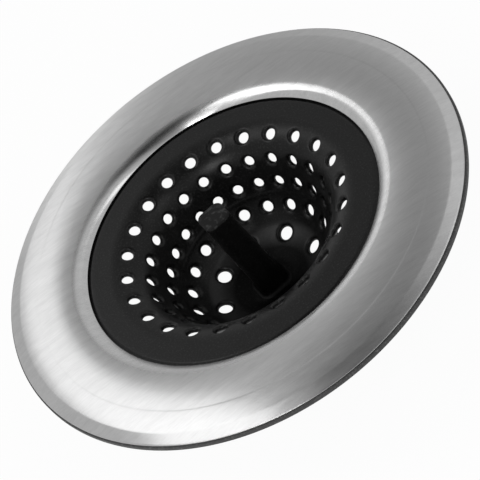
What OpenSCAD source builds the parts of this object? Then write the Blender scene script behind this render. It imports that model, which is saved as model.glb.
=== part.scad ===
// Sink strainer: a pressed steel ring over a silicone moulding.
// The moulding has a flat flange, a perforated basket that turns inside out, and a post to grip.
// The part stands on its foot: the origin is the middle of the foot's underside, and +Z is up.

/* [Rim] */
// Overall diameter, over the silicone edge
overall_d = 114; // [108:0.5:130]
// How far the silicone edge stands out past the steel
edge_w = 0.3; // [0.3:0.05:0.8]
// Rounding of the silicone edge
edge_r = 0.15; // [0.1:0.05:0.3]
// Radial width of the steel ring
steel_w = 20.15; // [17:0.05:21]
// Radial width of the flat flange inside the steel, in to the basket's mouth
flange_w = 5.64; // [4:0.02:7]
// Thickness of the flange, and of the moulding's flat part under the steel's inner edge
flange_t = 1; // [0.8:0.1:1.3]
// Thickness of the steel sheet
steel_t = 0.35; // [0.3:0.05:0.7]
// How far the steel's inner edge stands above the flange
steel_lip_h = 0.1; // [0.05:0.05:0.2]
// Radial width of the rounded shoulder round the opening
shoulder_w = 3.55; // [2.5:0.05:4.5]
// Slope of the steel where the shoulder starts, in degrees
shoulder_slope = 47; // [40:1:55]
// Slope of the steel where the shoulder runs into the crown, in degrees
crown_rise_slope = 6; // [3:1:10]
// Slope of the steel where the crown ends, in degrees
crown_fall_slope = 10.5; // [8:0.5:13]
// Radial width of the outer bevel
bevel_w = 2.7; // [2:0.05:3.5]
// Slope of the outer bevel, in degrees
bevel_slope = 17; // [13:1:19]

/* [Basket] */
// Thickness of the basket's silicone, from the mouth to the foot
wall_t = 1.3; // [0.8:0.1:1.6]
// Radius of the flare that turns the flange down into the basket
flare_r = 8.7; // [6:0.1:10]
// Steepest slope of the basket's wall, in degrees
wall_slope = 67.2; // [62:0.2:74]
// Length of the straight stretch of wall under the flare
straight_l = 5.54; // [3:0.02:8]
// Radius of the bowl's arc, to the middle of the wall
bowl_r = 22.5; // [19:0.1:25]
// Slope of the bowl where it meets the floor, in degrees
knuckle_slope = 43; // [40:1:46]
// Radius of the knuckle between the bowl and the floor
knuckle_r = 5; // [3:0.5:8]
// Slope of the floor's dish at the knuckle, in degrees
dish_slope = 24; // [20:1:30]
// Radius of the flat foot in the middle of the floor
foot_r = 6; // [5.5:0.25:8]

/* [Drain holes] */
// Holes in the top row, on the flare
row_a_count = 24; // [12:1:28]
// Diameter of the holes in the top row
row_a_d = 3.05; // [2:0.05:3.6]
// Holes in the second row, under the flare
row_b_count = 24; // [12:1:28]
// Diameter of the holes in the second row
row_b_d = 2.65; // [2:0.05:3.6]
// Holes in the third row, where the straight wall runs into the bowl
row_c_count = 24; // [12:1:28]
// Diameter of the holes in the third row
row_c_d = 2.7; // [2:0.05:3.4]
// Holes in the fourth row, low on the bowl
row_d_count = 18; // [10:1:24]
// Diameter of the holes in the fourth row
row_d_d = 2.9; // [2:0.05:3.6]
// Holes in the floor
row_e_count = 8; // [6:1:12]
// Diameter of the holes in the floor
row_e_d = 3.6; // [2:0.1:4]

/* [Post] */
// Width of the post at its foot
post_foot_w = 6.75; // [5.5:0.05:7.5]
// Width of the post at its top
post_top_w = 6.05; // [4.5:0.05:7]
// Radius of the post's upright corners
post_corner_r = 1.4; // [0.8:0.1:2]
// Rounding round the post's top face
post_edge_r = 0.3; // [0.1:0.05:0.6]
// How far the post stands above the flange
post_rise = 5.2; // [2:0.1:12]

/* [Hidden] */

// Finish of the cut circles, the sampled arcs and the rounded post
hole_facets = 32;
ring_facets = 180;
arc_steps = 8;
post_facets = 32;

// How far a drill runs past each face of the wall
overrun = 0.6;
// Height of the thin slices that the post is drawn over
slice_h = 0.05;

// Where each row of holes lies, as a share of the way down its stretch of the wall:
// rows A and B on the flare, C on the straight, D on the bowl and E on the dish
row_a_share = 0.37;
row_b_share = 0.93;
row_c_share = 0.94;
row_d_share = 0.62;
row_e_share = 0.19;

// Radii from the outside in: the silicone edge, the steel, and the flange down to the basket's mouth
overall_r = overall_d / 2;
steel_out_r = overall_r - edge_w;
steel_in_r = steel_out_r - steel_w;
mouth_r = steel_in_r - flange_w;

// Middle of the wall, which hangs from the mouth: how far out the bowl's centre lies from the axis,
// next to nothing on the real strainer, and how far each stretch comes down
bowl_centre_r = mouth_r - (flare_r + bowl_r) * sin(wall_slope) - straight_l * cos(wall_slope);
flare_drop = flare_r * (1 - cos(wall_slope));
straight_drop = straight_l * sin(wall_slope);
bowl_drop = bowl_r * (cos(knuckle_slope) - cos(wall_slope));
knuckle_drop = knuckle_r * (cos(dish_slope) - cos(knuckle_slope));
knuckle_in = knuckle_r * (sin(knuckle_slope) - sin(dish_slope));
dish_edge_r = bowl_centre_r + bowl_r * sin(knuckle_slope) - knuckle_in;
dish_r = dish_edge_r / sin(dish_slope);
foot_slope = asin(foot_r / dish_r);
dish_drop = dish_r * (cos(foot_slope) - cos(dish_slope));

// Heights: the foot's underside is zero, the flange and the basket are flush on top, and the rim seats
// in the drain at seat_z
wall_z = wall_t / 2 + flare_drop + straight_drop + bowl_drop + knuckle_drop + dish_drop;
flange_top_z = wall_z + wall_t / 2;
seat_z = flange_top_z - flange_t;
bowl_z = wall_z - flare_drop - straight_drop + bowl_r * cos(wall_slope);
dish_z = wall_t / 2 + dish_r * cos(foot_slope);
post_top_z = flange_top_z + post_rise;

// The arcs of the steel's section
crown_w = steel_w - shoulder_w - bevel_w;
shoulder_r = shoulder_w / (sin(shoulder_slope) - sin(crown_rise_slope));
crown_r = crown_w / (sin(crown_rise_slope) + sin(crown_fall_slope));
steel_in_z = flange_top_z + steel_lip_h;
crown_z = steel_in_z + shoulder_r * (cos(crown_rise_slope) - cos(shoulder_slope));
bevel_z = crown_z + crown_r * (cos(crown_fall_slope) - cos(crown_rise_slope));
steel_out_z = bevel_z - bevel_w * tan(bevel_slope);

// Evenly spaced slopes from one to another, both included
function slopes(first, last) = [for (i = [0 : arc_steps]) first + (last - first) * i / arc_steps];
function back_to_front(list) = [for (i = [len(list) - 1 : -1 : 0]) list[i]];

// A place on a sheet is [radius, height, slope], and the slope is how steeply it falls towards the axis
function on_flare(slope) = [mouth_r - flare_r * sin(slope), wall_z - flare_r * (1 - cos(slope)), slope];
function on_straight(share) = [
    mouth_r - flare_r * sin(wall_slope) - share * straight_l * cos(wall_slope),
    wall_z - flare_drop - share * straight_drop,
    wall_slope
];
function on_bowl(slope) = [bowl_centre_r + bowl_r * sin(slope), bowl_z - bowl_r * cos(slope), slope];
function on_knuckle(slope) = [
    dish_edge_r + knuckle_r * (sin(slope) - sin(dish_slope)),
    dish_z - dish_r * cos(dish_slope) + knuckle_r * (cos(dish_slope) - cos(slope)),
    slope
];
function on_dish(slope) = [dish_r * sin(slope), dish_z - dish_r * cos(slope), slope];
function on_shoulder(slope) = [
    steel_in_r + shoulder_r * (sin(shoulder_slope) - sin(slope)),
    steel_in_z + shoulder_r * (cos(slope) - cos(shoulder_slope)),
    slope
];
function on_crown(slope) = [
    steel_in_r + shoulder_w + crown_r * (sin(crown_rise_slope) - sin(slope)),
    crown_z + crown_r * (cos(slope) - cos(crown_rise_slope)),
    slope
];

// The point that lies under a place, square to the sheet, or over it when the depth is negative
function under(place, depth) = [place[0] + depth * sin(place[2]), place[1] - depth * cos(place[2])];
function face(places, depth) = [for (place = places) under(place, depth)];

// Places down the two stretches of the basket, and out along the steel
wall_places = concat(
    [for (slope = slopes(0, wall_slope)) on_flare(slope)],
    [for (slope = slopes(wall_slope, knuckle_slope)) on_bowl(slope)]
);
floor_places = concat(
    [for (slope = slopes(knuckle_slope, dish_slope)) on_knuckle(slope)],
    [for (slope = slopes(dish_slope, foot_slope)) if (slope < dish_slope) on_dish(slope)]
);
crease_slope = -(crown_fall_slope + bevel_slope) / 2;
steel_places = concat(
    [for (slope = slopes(shoulder_slope, crown_rise_slope)) on_shoulder(slope)],
    [for (slope = slopes(crown_rise_slope, -crown_fall_slope))
        if (slope < crown_rise_slope && slope > -crown_fall_slope) on_crown(slope)],
    [[steel_out_r - bevel_w, bevel_z, crease_slope], [steel_out_r, steel_out_z, -bevel_slope]]
);

// A ring turned from the sheet that runs through the places, between two depths under them
module sheet_ring(places, top_depth, bottom_depth) {
    rotate_extrude($fn = ring_facets)
        polygon(concat(face(places, top_depth), back_to_front(face(places, bottom_depth))));
}

// A row of holes drilled square to the wall at a place, the first one over the X axis
module drilled_row(place, count, diameter) {
    for (i = [0 : count - 1])
        rotate([0, 0, i * 360 / count])
            translate([place[0], 0, place[1]])
                rotate([0, -place[2], 0])
                    cylinder(h = wall_t + 2 * overrun, d = diameter, center = true, $fn = hole_facets);
}

// Pressed ring of brushed steel: rounded shoulder, low crown and outer bevel, of one thickness
module steel_rim() {
    color("silver")
        sheet_ring(steel_places, 0, steel_t);
}

// The moulding under the steel: flat below where it seats in the drain, shaped to the steel above
module rim_underlay() {
    edge_top = under(steel_places[len(steel_places) - 1], steel_t);
    lip = steel_places[0];
    // How far down its cut edge the steel meets the top of the flange
    lip_depth = steel_lip_h / cos(shoulder_slope);
    lower_corner = [for (a = slopes(-90, 0))
        [overall_r - edge_r + edge_r * cos(a), seat_z + edge_r + edge_r * sin(a)]];
    upper_corner = [for (a = slopes(0, 90))
        [overall_r - edge_r + edge_r * cos(a), edge_top[1] - edge_r + edge_r * sin(a)]];
    color("dimgray")
        rotate_extrude($fn = ring_facets)
            polygon(concat(
                [[steel_in_r, seat_z]],
                lower_corner,
                upper_corner,
                back_to_front(face(steel_places, steel_t)),
                [under(lip, lip_depth), [steel_in_r, flange_top_z]]
            ));
}

// Flat flange that shows inside the steel and carries the basket
module basket_flange() {
    color("dimgray")
        rotate_extrude($fn = ring_facets)
            translate([mouth_r, seat_z])
                square([steel_in_r - mouth_r, flange_t]);
}

// Perforated wall, from the flange down to the floor: the stretch that folds when the basket turns out
module basket_wall() {
    color("dimgray")
        difference() {
            sheet_ring(wall_places, -wall_t / 2, wall_t / 2);
            drilled_row(on_flare(row_a_share * wall_slope), row_a_count, row_a_d);
            drilled_row(on_flare(row_b_share * wall_slope), row_b_count, row_b_d);
            drilled_row(on_straight(row_c_share), row_c_count, row_c_d);
            drilled_row(on_bowl(wall_slope - row_d_share * (wall_slope - knuckle_slope)), row_d_count, row_d_d);
        }
}

// Dished floor with its own ring of holes, and a flat foot in the middle
module basket_floor() {
    color("dimgray")
        difference() {
            rotate_extrude($fn = ring_facets)
                polygon(concat(
                    face(floor_places, -wall_t / 2),
                    [[foot_r, wall_t], [0, wall_t], [0, 0], [foot_r, 0]],
                    back_to_front(face(floor_places, wall_t / 2))
                ));
            drilled_row(on_dish(dish_slope - row_e_share * (dish_slope - foot_slope)), row_e_count, row_e_d);
        }
}

// One thin square slice with rounded corners
module post_slice(z, width, corner_r) {
    reach = width / 2 - corner_r;
    for (x = [-reach, reach])
        for (y = [-reach, reach])
            translate([x, y, z])
                cylinder(h = slice_h, r = corner_r, $fn = post_facets);
}

// Square post that tapers a little towards its top, moulded on the middle of the floor
module grip_post() {
    color("dimgray")
        hull() {
            post_slice(wall_t, post_foot_w, post_corner_r);
            post_slice(post_top_z - post_edge_r - slice_h, post_top_w, post_corner_r);
            post_slice(post_top_z - slice_h, post_top_w - 2 * post_edge_r, post_corner_r - post_edge_r);
        }
}

steel_rim();
rim_underlay();
basket_flange();
basket_wall();
basket_floor();
grip_post();
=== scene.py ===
# Sink strainer: a pressed ring of brushed steel on a black silicone moulding, whose perforated basket
# turns inside out. It stands on its foot at the origin with +Z up, and every length is in metres.
from math import asin, copysign, cos, pi, radians, sin

import bmesh
import bpy
import numpy as np
from mathutils import Matrix, Vector


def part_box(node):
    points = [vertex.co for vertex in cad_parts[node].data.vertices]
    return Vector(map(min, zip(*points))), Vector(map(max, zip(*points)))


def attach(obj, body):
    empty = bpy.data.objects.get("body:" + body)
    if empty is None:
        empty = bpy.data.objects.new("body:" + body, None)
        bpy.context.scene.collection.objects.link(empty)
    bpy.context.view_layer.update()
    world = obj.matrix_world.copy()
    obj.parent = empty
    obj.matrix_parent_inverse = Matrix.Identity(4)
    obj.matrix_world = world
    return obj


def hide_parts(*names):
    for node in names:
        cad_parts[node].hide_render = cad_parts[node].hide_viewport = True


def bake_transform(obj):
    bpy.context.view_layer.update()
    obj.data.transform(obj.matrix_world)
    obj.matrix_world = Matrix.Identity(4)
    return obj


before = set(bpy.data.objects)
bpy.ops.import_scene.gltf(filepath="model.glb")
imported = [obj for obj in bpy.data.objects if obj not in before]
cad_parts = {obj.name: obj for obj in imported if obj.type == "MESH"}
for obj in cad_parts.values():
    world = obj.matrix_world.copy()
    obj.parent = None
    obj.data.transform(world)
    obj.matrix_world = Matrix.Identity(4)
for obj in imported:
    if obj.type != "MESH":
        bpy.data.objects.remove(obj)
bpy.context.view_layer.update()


# Camera: it stands in front of the strainer and looks down into the basket, and it is tipped so that
# the near right side of the rim hangs low in the picture.
camera_place = Vector((0.02676, -0.35625, 0.35850))
camera_side = radians(4.298)
camera_height = radians(43.644)
camera_tip = radians(-38.418)
lens_mm = 164.07
film_mm = 36.0
nearest_seen = 0.01

view_back = Vector((sin(camera_side) * cos(camera_height), -cos(camera_side) * cos(camera_height),
                    sin(camera_height)))
level = Vector((cos(camera_side), sin(camera_side), 0))
upright = view_back.cross(level)
picture_right = level * cos(camera_tip) + upright * sin(camera_tip)
picture_up = upright * cos(camera_tip) - level * sin(camera_tip)
camera = bpy.data.objects.new("camera", bpy.data.cameras.new("camera"))
camera.data.lens = lens_mm
camera.data.sensor_width = film_mm
camera.data.clip_start = nearest_seen
camera.matrix_world = (Matrix.Translation(camera_place)
                       @ Matrix((picture_right, picture_up, view_back)).transposed().to_4x4())
bpy.context.scene.collection.objects.link(camera)
bpy.context.scene.camera = camera


# Steel ring: one sheet of stainless steel, brushed in straight lines and then stamped to a rounded
# shoulder, a low crown and an outer bevel, with the faint ring that the press left in the crown. It
# lies on the moulding and shows its thin cut edges.
MM = 0.001
steel_t = 0.35 * MM
steel_edge_r = 0.08 * MM
steel_lip_h = 0.1 * MM
shoulder_w = 3.55 * MM
bevel_w = 2.7 * MM
crease_w = 0.5 * MM
press_line_r = 49 * MM
press_line_w = 0.3 * MM
press_line_tilt = radians(5)
shoulder_slope = radians(47)
crown_rise = radians(6)
crown_fall = radians(10.5)
bevel_slope = radians(17)
steel_in_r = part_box("basket_flange")[1].x
steel_out_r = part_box("steel_rim")[1].x
flange_top_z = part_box("basket_flange")[1].z
turn_steps = 288
brush_turn = radians(-8)
hair_grain = 3 * MM, 0.20 * MM, 0.4 * MM
streak_grain = 8 * MM, 1.6 * MM, 1.6 * MM
dent_grain = 24 * MM, 11 * MM, 11 * MM
die_line_gap = 1.3 * MM
hair_h = 0.0015 * MM
die_line_h = 0.003 * MM
dent_h = 0.06 * MM
steel_greys = 0.61, 0.71
steel_roughness = 0.285, 0.315
burnish = 0.10

shoulder_r = shoulder_w / (sin(shoulder_slope) - sin(crown_rise))
crown_w = steel_out_r - steel_in_r - shoulder_w - bevel_w
crown_r = crown_w / (sin(crown_rise) + sin(crown_fall))
shoulder_end = shoulder_r * (shoulder_slope - crown_rise)
crown_end = shoulder_end + crown_r * (crown_rise + crown_fall)
steel_end = crown_end + bevel_w / cos(bevel_slope)
press_slope = asin(sin(crown_rise) - (press_line_r - steel_in_r - shoulder_w) / crown_r)
press_way = shoulder_end + crown_r * (crown_rise - press_slope)


def bent_line(start, outward, bends):
    """Radius, height and slope of a bent sheet, as a function of the way along it from its start.

    bends are (way, slope) pairs. The slope changes evenly between two of them, so each stretch is an
    arc or straight. A slope is how steeply the sheet falls towards the axis. outward is 1 or -1."""
    step = 0.02 * MM
    ways = np.arange(0, bends[-1][0] + step, step)
    slopes = np.interp(ways, *np.transpose(bends))
    middles = (slopes[1:] + slopes[:-1]) / 2
    radii = start[0] + outward * step * np.concatenate([[0], np.cumsum(np.cos(middles))])
    heights = start[1] + outward * step * np.concatenate([[0], np.cumsum(np.sin(middles))])

    def place(way):
        return np.interp(way, ways, radii), np.interp(way, ways, heights), np.interp(way, ways, slopes)

    return place


def beneath(place, depth):
    """Radius and height of what lies square under a place of a sheet."""
    radius, height, slope = place
    return radius + depth * np.sin(slope), height - depth * np.cos(slope)


def strip_section(ways, thickness, edge_r):
    """The section of a strip of sheet as (way, depth) points, with its four corners rounded."""
    first, last = ways[0], ways[-1]
    turn = np.linspace(0, pi / 2, 5)
    out, drop = edge_r * np.sin(turn), edge_r * (1 - np.cos(turn))
    inner = ways[(ways > first + edge_r) & (ways < last - edge_r)]
    return np.concatenate([
        np.column_stack([inner, 0 * inner]),
        np.column_stack([last - edge_r + out, drop]),
        np.column_stack([last - drop, thickness - edge_r + out]),
        np.column_stack([inner, 0 * inner + thickness])[::-1],
        np.column_stack([first + edge_r - out, thickness - drop]),
        np.column_stack([first + drop, edge_r - out]),
    ])


def solid(name, points, faces):
    """A closed mesh piece. Points that meet are joined, and only sharp edges stay hard."""
    weld, sharp = 0.001 * MM, radians(35)
    mesh = bpy.data.meshes.new(name)
    shape = bmesh.new()
    corners = [shape.verts.new(point) for point in points]
    for face in faces:
        shape.faces.new([corners[i] for i in face])
    bmesh.ops.remove_doubles(shape, verts=shape.verts, dist=weld)
    bmesh.ops.recalc_face_normals(shape, faces=shape.faces)
    shape.to_mesh(mesh)
    shape.free()
    mesh.shade_smooth()
    mesh.set_sharp_from_angle(angle=sharp)
    piece = bpy.data.objects.new(name, mesh)
    bpy.context.scene.collection.objects.link(piece)
    return piece


def turned(name, section):
    """A closed ring turned about the Z axis from the (radius, height) points round its section."""
    count = len(section)
    turns = np.arange(turn_steps) * 2 * pi / turn_steps
    points = [(r * cos(a), r * sin(a), z) for a in turns for r, z in section]
    faces = [(i * count + j, (i + 1) % turn_steps * count + j,
              (i + 1) % turn_steps * count + (j + 1) % count, i * count + (j + 1) % count)
             for i in range(turn_steps) for j in range(count)]
    return solid(name, points, faces)


steel_line = bent_line((steel_in_r, flange_top_z + steel_lip_h), 1, [
    (0, shoulder_slope), (shoulder_end, crown_rise), (press_way - press_line_w, press_slope),
    (press_way, press_slope + press_line_tilt), (press_way + press_line_w, press_slope),
    (crown_end - crease_w / 2, -crown_fall),
    (crown_end + crease_w / 2, -bevel_slope), (steel_end, -bevel_slope)])
steel_ways = np.concatenate([
    np.linspace(0, shoulder_end, 19), np.linspace(shoulder_end, press_way - press_line_w, 19)[1:],
    np.linspace(press_way - press_line_w, press_way + press_line_w, 9)[1:],
    np.linspace(press_way + press_line_w, crown_end - crease_w / 2, 11)[1:],
    np.linspace(crown_end - crease_w / 2, crown_end + crease_w / 2, 7)[1:],
    np.linspace(crown_end + crease_w / 2, steel_end, 7)[1:]])
steel_section = strip_section(steel_ways, steel_t, steel_edge_r)
steel_ring = turned("brushed_steel_ring",
                    np.transpose(beneath(steel_line(steel_section[:, 0]), steel_section[:, 1])))


def new_material(name):
    """A material, its node tree and its Principled shader."""
    made = bpy.data.materials.new(name)
    made.use_nodes = True
    return made, made.node_tree, made.node_tree.nodes["Principled BSDF"]


def add_node(tree, kind, sockets=(), **settings):
    """A shader node with its settings. Each socket is given a value, or the output that feeds it."""
    made = tree.nodes.new(kind)
    for name, value in settings.items():
        setattr(made, name, value)
    for name, value in dict(sockets).items():
        if isinstance(value, bpy.types.NodeSocket):
            tree.links.new(value, made.inputs[name])
        else:
            made.inputs[name].default_value = value
    return made


def drawn_noise(tree, grain, shift=0.0, detail=2.0, turned_by=0.0):
    """Noise in the object's own coordinates. grain is the size of its grains along X, Y and Z."""
    where = add_node(tree, "ShaderNodeTexCoord").outputs["Object"]
    spread = add_node(tree, "ShaderNodeMapping",
                      {"Vector": where, "Rotation": (0, 0, turned_by), "Location": (shift,) * 3,
                       "Scale": [1 / length for length in grain]})
    return add_node(tree, "ShaderNodeTexNoise",
                    {"Vector": spread.outputs["Vector"], "Scale": 1.0, "Detail": detail}).outputs["Fac"]


def spread_over(tree, value, low, high, start=0.3, stop=0.7):
    """What runs from start to stop, spread over low to high."""
    return add_node(tree, "ShaderNodeMapRange",
                    {"Value": value, "From Min": start, "From Max": stop, "To Min": low,
                     "To Max": high}).outputs["Result"]


def between(tree, share, first, second):
    """The colour that lies that share of the way from the first grey to the second.

    Sockets 6 and 7 are the two colours of a Mix node, and output 2 is the mixed one."""
    greys = {6: (first, first, first, 1), 7: (second, second, second, 1)}
    return add_node(tree, "ShaderNodeMix", {"Factor": share} | greys, data_type="RGBA").outputs[2]


def relief(tree, height, depth, under=None):
    """A bump as deep as depth, over the one under it."""
    return add_node(tree, "ShaderNodeBump",
                    {"Height": height, "Strength": 1.0, "Distance": depth}
                    | ({"Normal": under} if under else {})).outputs["Normal"]


def from_axis(tree):
    """How far a point of a piece lies from the strainer's axis."""
    where = add_node(tree, "ShaderNodeTexCoord").outputs["Object"]
    flat = add_node(tree, "ShaderNodeVectorMath", {0: where, 1: (1, 1, 0)}, operation="MULTIPLY")
    return add_node(tree, "ShaderNodeVectorMath", {0: flat.outputs[0]},
                    operation="LENGTH").outputs["Value"]


steel, tree, shader = new_material("brushed_stainless_steel")
hairs = drawn_noise(tree, hair_grain, turned_by=-brush_turn)
streaks = drawn_noise(tree, streak_grain, shift=3.0, turned_by=-brush_turn)
dents = drawn_noise(tree, dent_grain, shift=7.0, detail=1.0, turned_by=-brush_turn)
die_lines = add_node(tree, "ShaderNodeTexNoise",
                     {"W": from_axis(tree), "Scale": 1 / die_line_gap, "Detail": 3.0},
                     noise_dimensions="1D").outputs["Fac"]
marks = add_node(tree, "ShaderNodeMath", {0: hairs, 1: streaks}, operation="ADD").outputs[0]
marked = spread_over(tree, marks, 0, 1, start=0.7, stop=1.3)
tree.links.new(between(tree, marked, *steel_greys), shader.inputs["Base Color"])
# The press smooths the brushing in the shoulder
smoother = spread_over(tree, from_axis(tree), -burnish, 0,
                       start=steel_in_r + shoulder_w / 2, stop=steel_in_r + shoulder_w)
roughness = add_node(tree, "ShaderNodeMath",
                     {0: spread_over(tree, streaks, *steel_roughness), 1: smoother}, operation="ADD")
tree.links.new(roughness.outputs[0], shader.inputs["Roughness"])
shader.inputs["Metallic"].default_value = 1.0
shader.inputs["Anisotropic"].default_value = 1.0
across_brushing = add_node(tree, "ShaderNodeVectorTransform",
                           {"Vector": (-sin(brush_turn), cos(brush_turn), 0)},
                           vector_type="VECTOR", convert_from="OBJECT", convert_to="WORLD")
tree.links.new(across_brushing.outputs["Vector"], shader.inputs["Tangent"])
hair_bump = relief(tree, hairs, hair_h)
die_bump = relief(tree, die_lines, die_line_h, hair_bump)
tree.links.new(relief(tree, dents, dent_h, die_bump), shader.inputs["Normal"])
steel_ring.data.materials.append(steel)
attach(steel_ring, "rim")
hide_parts("steel_rim")


# Underlay: the part of the black silicone moulding that lies under the steel. It is flat below, where
# it seats in the drain, fits the steel above, and its soft edge stands out all round the steel.
seat_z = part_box("basket_flange")[0].z
overall_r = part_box("rim_underlay")[1].x
edge_r = 0.15 * MM
edge_top_z = beneath(steel_line(steel_end), steel_t)[1]
edge_spread = 0.2 * MM
mottle_w = 6 * MM
grain_w = 0.35 * MM
grain_h = 0.008 * MM

edge_turn = np.linspace(0, pi / 2, 7)
edge_out, edge_rise = edge_r * np.sin(edge_turn), edge_r * (1 - np.cos(edge_turn))
seat_radii = np.linspace(steel_in_r, overall_r - edge_r, 12)[:-1]
lip_depth = steel_lip_h / cos(shoulder_slope)
underlay = turned("silicone_underlay", np.concatenate([
    np.column_stack([seat_radii, np.full(len(seat_radii), seat_z)]),
    np.column_stack([overall_r - edge_r + edge_out, seat_z + edge_rise]),
    np.column_stack([overall_r - edge_rise, edge_top_z - edge_r + edge_out]),
    np.transpose(beneath(steel_line(steel_ways[::-1]), steel_t)),
    [beneath(steel_line(0), lip_depth), (steel_in_r, flange_top_z)],
]))
# The moulded edge comes out a little wider on the right
for corner in underlay.data.vertices:
    if corner.co.xy.length > steel_out_r:
        corner.co.x += edge_spread * ((1 + corner.co.x / overall_r) / 2) ** 2


def black_silicone(name, greys, roughness, shine, speck_w):
    """Silicone from the mould: mottled by its bloom, with a fine grain and specks of dust.

    greys are the clean and the dusty one, raised on the underlay's edge into a painted sheen, and
    roughness is its low and its high end."""
    made, tree, shader = new_material(name)
    mottle = drawn_noise(tree, (mottle_w,) * 3, detail=4.0)
    grain = drawn_noise(tree, (grain_w,) * 3, shift=2.0, detail=3.0)
    specks = drawn_noise(tree, (speck_w,) * 3, shift=5.0, detail=4.0)
    dust = spread_over(tree, specks, 0, 1, start=0.52, stop=0.78)
    tree.links.new(between(tree, dust, *greys), shader.inputs["Base Color"])
    tree.links.new(spread_over(tree, mottle, *roughness), shader.inputs["Roughness"])
    tree.links.new(relief(tree, grain, grain_h), shader.inputs["Normal"])
    shader.inputs["Specular IOR Level"].default_value = shine
    return made


silicone = black_silicone("black_silicone", greys=(0.0005, 0.022), roughness=(0.27, 0.40),
                          shine=0.29, speck_w=0.4 * MM)
# The same black silicone in lighter greys, a painted sheen for the light from the white table and the
# lamps on the underlay's edge
painted_sheen_silicone = black_silicone("painted_sheen_silicone", greys=(0.06, 0.16), roughness=(0.40, 0.50),
                                  shine=0.30, speck_w=0.5 * MM)
underlay.data.materials.append(silicone)
underlay.data.materials.append(painted_sheen_silicone)
# Only the edge that stands out takes the lighter grey, a painted sheen for the light that edge catches
for face in underlay.data.polygons:
    if face.center.xy.length > steel_out_r:
        face.material_index = 1
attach(underlay, "rim")
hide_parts("rim_underlay")


# Flange: the flat ring of the moulding that shows inside the steel. A shallow groove moulded along
# its outer side keeps the silicone clear of the steel's cut edge.
mouth_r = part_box("basket_wall")[1].x
groove_w = 1.0 * MM
groove_h = 0.34 * MM

groove_turn = np.linspace(0, 1, 9)
flange = turned("silicone_flange", np.concatenate([
    np.column_stack([np.linspace(mouth_r, steel_in_r - groove_w, 8)[:-1], np.full(7, flange_top_z)]),
    np.column_stack([steel_in_r - groove_w * (1 - groove_turn),
                     flange_top_z - groove_h * (1 - np.cos(groove_turn * pi)) / 2]),
    [(steel_in_r, seat_z), (mouth_r, seat_z)],
]))
flange.data.materials.append(silicone)
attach(flange, "rim")
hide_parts("basket_flange")


# Basket wall: the stretch of the moulding that flares down from the flange, runs on as a straight
# wall and curves into a bowl, with four rows of drain holes. The real wall folds when the basket turns
# out; here it is built only in its rest shape.
wall_t = 1.3 * MM
flare_r = 8.7 * MM
straight_l = 5.54 * MM
bowl_r = 22.5 * MM
knuckle_r = 5 * MM
foot_r = 6 * MM
foot_bend_w = 1.2 * MM
wall_slope = radians(67.2)
knuckle_slope = radians(43)
dish_slope = radians(24)
row_a_share = 0.37
row_b_share = 0.93
row_c_share = 0.94
row_d_share = 0.62

flare_end = flare_r * wall_slope
straight_end = flare_end + straight_l
wall_end = straight_end + bowl_r * (wall_slope - knuckle_slope)
knuckle_end = wall_end + knuckle_r * (knuckle_slope - dish_slope)
dish_edge_r = bowl_r * sin(knuckle_slope) - knuckle_r * (sin(knuckle_slope) - sin(dish_slope))
dish_r = dish_edge_r / sin(dish_slope)
foot_slope = asin(foot_r / dish_r)
dish_end = knuckle_end + dish_r * (dish_slope - foot_slope)
floor_end = dish_end + foot_r
wall_line = bent_line((mouth_r, flange_top_z - wall_t / 2), -1, [
    (0, 0), (flare_end, wall_slope), (straight_end, wall_slope), (wall_end, knuckle_slope),
    (knuckle_end, dish_slope),
    (dish_end - foot_bend_w / 2, foot_slope + foot_bend_w / 2 / dish_r), (dish_end + foot_bend_w / 2, 0),
    (floor_end, 0)])

# Each row: way down the wall to the holes, half the width of its band, count and diameter
row_a = row_a_share * flare_end, 2.6 * MM, 24, 2.77 * MM
row_b = row_b_share * flare_end, 2.5 * MM, 24, 2.45 * MM
row_c = flare_end + row_c_share * straight_l, 2.5 * MM, 24, 2.46 * MM
row_d = straight_end + row_d_share * (wall_end - straight_end), 2.6 * MM, 18, 2.72 * MM
hole_taper = 0.93
mouth_w = 0.95 * MM
mouth_h = 0.60 * MM
exit_r = 0.42 * MM
cell_step = 0.5 * MM
wall_step = 0.35 * MM
bead_way = straight_end + 2.5 * MM
bead_w = 0.35 * MM
bead_h = 0.05 * MM


def on_wall(turn, way, depth):
    """Points of the moulding, a turn round the axis and a depth under the face that holds the water."""
    raised = bead_h * np.exp(-((way - bead_way) / bead_w) ** 2) * (1 - depth / wall_t)
    radius, height = beneath(wall_line(way), depth - wall_t / 2 - raised)
    return np.stack(np.broadcast_arrays(radius * np.cos(turn), radius * np.sin(turn), height), axis=-1)


def seen_along_hole(row_way, across, down, depth):
    """Turn and way of the points that lie across and down from a hole's axis, seen along that axis.

    A first guess is corrected until it has settled."""
    hole_r, hole_z, slope = wall_line(row_way)
    turn, way = across / hole_r, row_way + down
    for _ in range(8):
        x, y, z = np.moveaxis(on_wall(turn, way, depth), -1, 0)
        turn = turn + (across - y) / hole_r
        way = way + down - ((hole_r - x) * cos(slope) + (hole_z - z) * sin(slope))
    return turn, way


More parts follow.
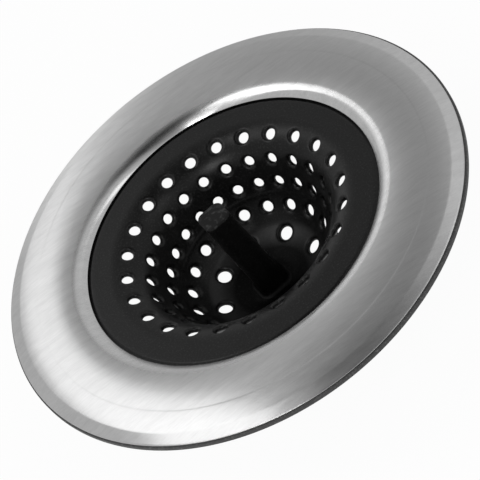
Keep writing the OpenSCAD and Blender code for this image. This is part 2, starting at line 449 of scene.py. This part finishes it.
def round_hole(row):
    """One cell of a row, as rings of (turn, way, depth): from its outline on the inside face in to the
    hole, through it with rounded edges, and out to the same outline on the outside face."""
    row_way, half, count, diameter = row
    wide = turn_steps // count
    high = 2 * round(half / cell_step)
    side = np.concatenate([np.linspace(-1, 1, wide + 1)[:-1], np.ones(high),
                           np.linspace(1, -1, wide + 1)[:-1], -np.ones(high + 1)])
    rise = np.concatenate([-np.ones(wide), np.linspace(-1, 1, high + 1)[:-1],
                           np.ones(wide), np.linspace(1, -1, high + 1)])
    side[-1], rise[-1] = side[0], rise[0]
    outline = side * pi / count, row_way + rise * half
    around = np.arctan2(rise, side)
    bend = np.linspace(0, pi / 2, 8)
    flare, dip = 1 - np.sin(bend), 1 - np.cos(bend)
    gaps = np.concatenate([diameter / 2 + mouth_w * flare,
                           hole_taper * diameter / 2 + exit_r * flare[::-1]])
    depths = np.concatenate([mouth_h * dip, wall_t - exit_r * dip[::-1]])
    rings = []
    for gap, depth in zip(gaps, depths):
        turn, way = seen_along_hole(row_way, gap * np.cos(around), gap * np.sin(around), depth)
        rings.append((turn, way, np.full(len(turn), depth)))
    ring_shares = 0, 0.3, 0.55, 0.75, 0.9
    above, below = [
        [(outline[0] * (1 - share) + turn * share, outline[1] * (1 - share) + way * share, depth)
         for share in ring_shares]
        for turn, way, depth in (rings[0], rings[-1])]
    return np.array(above + rings + below[::-1])


def perforated(first, last, rows, plain_ways, closed=False):
    """Points and faces of the stretch of the moulding from one way to another, with its rows of holes.

    Where it is closed, it ends in a small disc round the axis."""
    grids = []
    turns = np.linspace(0, 2 * pi, turn_steps + 1)
    ends = [first] + [edge for row in rows for edge in (row[0] - row[1], row[0] + row[1])] + [last]
    for start, stop in zip(ends[::2], ends[1::2]):
        ways = np.unique([start, stop] + [way for way in plain_ways if start < way < stop])
        for depth in (0, wall_t):
            grids.append(on_wall(turns[:, None], ways[None, :], depth))
    for way in (first,) if closed else (first, last):
        grids.append(on_wall(turns[:, None], way, np.linspace(0, wall_t, 3)[None, :]))
    for row in rows:
        turn, way, depth = np.moveaxis(round_hole(row), 1, 0)
        for i in range(row[2]):
            grids.append(on_wall(turn + i * 2 * pi / row[2], way, depth))
    points, faces = [], []
    for grid in grids:
        high, wide = grid.shape[:2]
        number = len(points) + np.arange(high * wide).reshape(high, wide)
        points.extend(grid.reshape(-1, 3))
        faces.extend(np.stack([number[:-1, :-1], number[1:, :-1], number[1:, 1:], number[:-1, 1:]],
                              axis=-1).reshape(-1, 4).tolist())
    if closed:
        for depth in (0, wall_t):
            faces.append(range(len(points), len(points) + turn_steps))
            points.extend(on_wall(turns[:-1], last, depth))
    return points, faces


wall_rows = row_a, row_b, row_c, row_d
basket_wall = solid("silicone_basket_wall", *perforated(
    0, wall_end, wall_rows, np.arange(0, wall_end, wall_step)))
basket_wall.data.materials.append(silicone)
fold_foot = (0, 0, beneath(wall_line(wall_end), -wall_t / 2)[1])
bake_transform(basket_wall)
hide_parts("basket_wall")


# Basket floor: the dished bottom of the moulding, with eight wide holes round a flat foot. It stays
# stiff and rises with the post when the basket is pushed through. Water keeps its middle dull.
row_e_share = 0.19
row_e = knuckle_end + row_e_share * (dish_end - knuckle_end), 3.0 * MM, 8, 3.44 * MM
pole_r = 0.3 * MM
bend_step = 0.12 * MM
foot_step = 0.8 * MM
dull_r = 9.0 * MM
shiny_r = 12.5 * MM
floor_shine = 0.06
dish_shine = 0.34

floor_ways = np.concatenate([np.arange(wall_end, dish_end - foot_bend_w, wall_step),
                             np.arange(dish_end - foot_bend_w, dish_end + foot_bend_w, bend_step),
                             np.arange(dish_end + foot_bend_w, floor_end, foot_step)])
basket_floor = solid("silicone_basket_floor", *perforated(
    wall_end, floor_end - pole_r, [row_e], floor_ways, closed=True))
floor_silicone = black_silicone("floor_silicone", greys=(0.0005, 0.01), roughness=(0.30, 0.42),
                                shine=dish_shine, speck_w=0.5 * MM)
tree = floor_silicone.node_tree
graded = spread_over(tree, from_axis(tree), floor_shine, dish_shine, start=dull_r, stop=shiny_r)
tree.links.new(graded, tree.nodes["Principled BSDF"].inputs["Specular IOR Level"])
basket_floor.data.materials.append(floor_silicone)
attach(basket_floor, "basket_bottom")
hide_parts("basket_floor")


# Grip post: a square post moulded on the middle of the floor. It tapers a little, leans to the left and
# is turned a little, as soft mouldings come out, and its top is scuffed from the mould and handling.
post_low, post_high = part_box("grip_post")
post_foot_w = 7.1 * MM
post_top_w = 6.65 * MM
post_corner_r = 1.8 * MM
post_edge_r = 0.45 * MM
post_lean = Vector((-1.55, 0.5)) * MM
post_turn = radians(8)
post_fillet_r = 0.9 * MM
corner_steps = 8
side_shares = np.linspace(0.1, 0.95, 12)
top_shares = 0.75, 0.5, 0.25
scuffed_above = 0.35


def square_loop(z, width, corner_r):
    """One level of the post: a square with round corners, turned and shifted by the lean."""
    reach = width / 2 - corner_r
    shift = post_lean * (z - post_low.z) / (post_high.z - post_low.z)
    loop = []
    for quarter in range(4):
        middle = (quarter + 0.5) * pi / 2
        for step in range(corner_steps + 1):
            turn = (quarter + step / corner_steps) * pi / 2
            corner = Vector((copysign(reach, cos(middle)) + corner_r * cos(turn),
                             copysign(reach, sin(middle)) + corner_r * sin(turn)))
            corner.rotate(Matrix.Rotation(post_turn, 2))
            loop.append((corner.x + shift.x, corner.y + shift.y, z))
    return loop


levels = []
for turn in np.linspace(0, pi / 2, 7):
    flare = post_fillet_r * (1 - sin(turn))
    levels.append((post_low.z + post_fillet_r * (1 - cos(turn)), post_foot_w + 2 * flare,
                   post_corner_r + flare))
for share in side_shares:
    levels.append((post_low.z + share * (post_high.z - post_low.z),
                   post_foot_w + share * (post_top_w - post_foot_w), post_corner_r))
for turn in np.linspace(0, pi / 2, 7):
    inset = post_edge_r * (1 - cos(turn))
    levels.append((post_high.z - post_edge_r * (1 - sin(turn)), post_top_w - 2 * inset,
                   post_corner_r - inset))
for share in top_shares:
    levels.append((post_high.z, share * (post_top_w - 2 * post_edge_r),
                   share * (post_corner_r - post_edge_r)))

loops = [square_loop(*level) for level in levels]
around = len(loops[0])
points = [point for loop in loops for point in loop]
faces = [(i * around + j, i * around + (j + 1) % around,
          (i + 1) * around + (j + 1) % around, (i + 1) * around + j)
         for i in range(len(loops) - 1) for j in range(around)]
faces.append(tuple(range(around)))
faces.append(tuple(range(len(points) - around, len(points))))
post = solid("silicone_grip_post", points, faces)
side_silicone = black_silicone("post_side_silicone", greys=(0.0005, 0.01), roughness=(0.45, 0.60),
                               shine=0.15, speck_w=0.5 * MM)
top_silicone = black_silicone("post_top_silicone", greys=(0.004, 0.055), roughness=(0.40, 0.55),
                              shine=0.18, speck_w=1.1 * MM)
post.data.materials.append(side_silicone)
post.data.materials.append(top_silicone)
# The scuffed top takes in most of its rounded edge
for face in post.data.polygons:
    if face.normal.z > scuffed_above and face.center.z > (post_low.z + post_high.z) / 2:
        face.material_index = 1
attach(post, "basket_bottom")
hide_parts("grip_post")


# Studio: a white table top, which keeps the strainer's shadow, under a pale room that is dark
# overhead, and four soft lamps.
table_w = 8.0
table_white = 0.9
shown_white = 0.96
mirrored_white = 0.5
room_grey = 0.60
dark_overhead = 0.33, 0.62
dark_edge = 0.55, 1.15
lamp_distance = 0.45

floor_mesh = bpy.data.meshes.new("table_top")
half = table_w / 2
floor_mesh.from_pydata([(-half, -half, 0), (half, -half, 0), (half, half, 0), (-half, half, 0)], [],
                       [(0, 1, 2, 3)])
table_top = bpy.data.objects.new("table_top", floor_mesh)
bpy.context.scene.collection.objects.link(table_top)

white, tree, shader = new_material("white_table")
tree.nodes.remove(shader)
rays = add_node(tree, "ShaderNodeLightPath")
shown = add_node(tree, "ShaderNodeMath", {0: rays.outputs["Is Camera Ray"], 1: shown_white},
                 operation="MULTIPLY")
mirrored = add_node(tree, "ShaderNodeMath", {0: rays.outputs["Is Glossy Ray"], 1: mirrored_white},
                    operation="MULTIPLY")
share = add_node(tree, "ShaderNodeMath", {0: shown.outputs[0], 1: mirrored.outputs[0]},
                 operation="MAXIMUM")
lit = add_node(tree, "ShaderNodeBsdfDiffuse", {"Color": (table_white,) * 3 + (1,)})
glow = add_node(tree, "ShaderNodeEmission", {"Color": (1, 1, 1, 1), "Strength": 1.0})
table_mix = add_node(tree, "ShaderNodeMixShader", {0: share.outputs[0], 1: lit.outputs[0],
                                                   2: glow.outputs[0]})
tree.links.new(table_mix.outputs[0], tree.nodes["Material Output"].inputs["Surface"])
table_top.data.materials.append(white)

world = bpy.data.worlds.new("studio")
world.use_nodes = True
tree = world.node_tree
toward = add_node(tree, "ShaderNodeTexCoord").outputs["Generated"]
squeeze = 1 / dark_overhead[0], 1 / dark_overhead[1], 0
sideways = add_node(tree, "ShaderNodeVectorMath", {0: toward, 1: squeeze}, operation="MULTIPLY")
from_overhead = add_node(tree, "ShaderNodeVectorMath", {0: sideways.outputs[0]},
                         operation="LENGTH").outputs["Value"]
room = between(tree, spread_over(tree, from_overhead, 0, 1, *dark_edge), 0.0, room_grey)
rays = add_node(tree, "ShaderNodeLightPath")
shown_room = add_node(tree, "ShaderNodeMix", {0: rays.outputs["Is Camera Ray"], 6: room,
                                              7: (shown_white,) * 3 + (1,)}, data_type="RGBA")
tree.links.new(shown_room.outputs[2], tree.nodes["Background"].inputs["Color"])
bpy.context.scene.world = world


def softbox(name, sideways, height, size, watts):
    """A soft lamp that faces the strainer. Its long side lies square to the brushing of the steel.

    sideways is the angle by which it stands to the right, and height the angle by which it is swung
    up over the strainer from behind."""
    lamp = bpy.data.lights.new(name, "AREA")
    lamp.shape = "RECTANGLE"
    lamp.size, lamp.size_y = size
    lamp.energy = watts
    holder = bpy.data.objects.new(name, lamp)
    away = Vector((sin(sideways), cos(sideways) * cos(height), cos(sideways) * sin(height)))
    along = Vector((0, -sin(height), cos(height)))
    holder.matrix_world = (Matrix.Translation(away * lamp_distance)
                           @ Matrix((along.cross(away), along, away)).transposed().to_4x4())
    holder.visible_camera = False
    bpy.context.scene.collection.objects.link(holder)


softbox("softbox_over", sideways=radians(-21.5), height=radians(75), size=(0.155, 0.20), watts=0.205)
softbox("softbox_back", sideways=radians(-19.2), height=radians(38), size=(0.12, 0.34), watts=0.052)
softbox("softbox_right", sideways=radians(28), height=radians(110), size=(0.08, 0.20), watts=0.057)
softbox("softbox_front", sideways=radians(-18.5), height=radians(132), size=(0.10, 0.12), watts=0.22)

bpy.context.scene.view_settings.view_transform = "Standard"
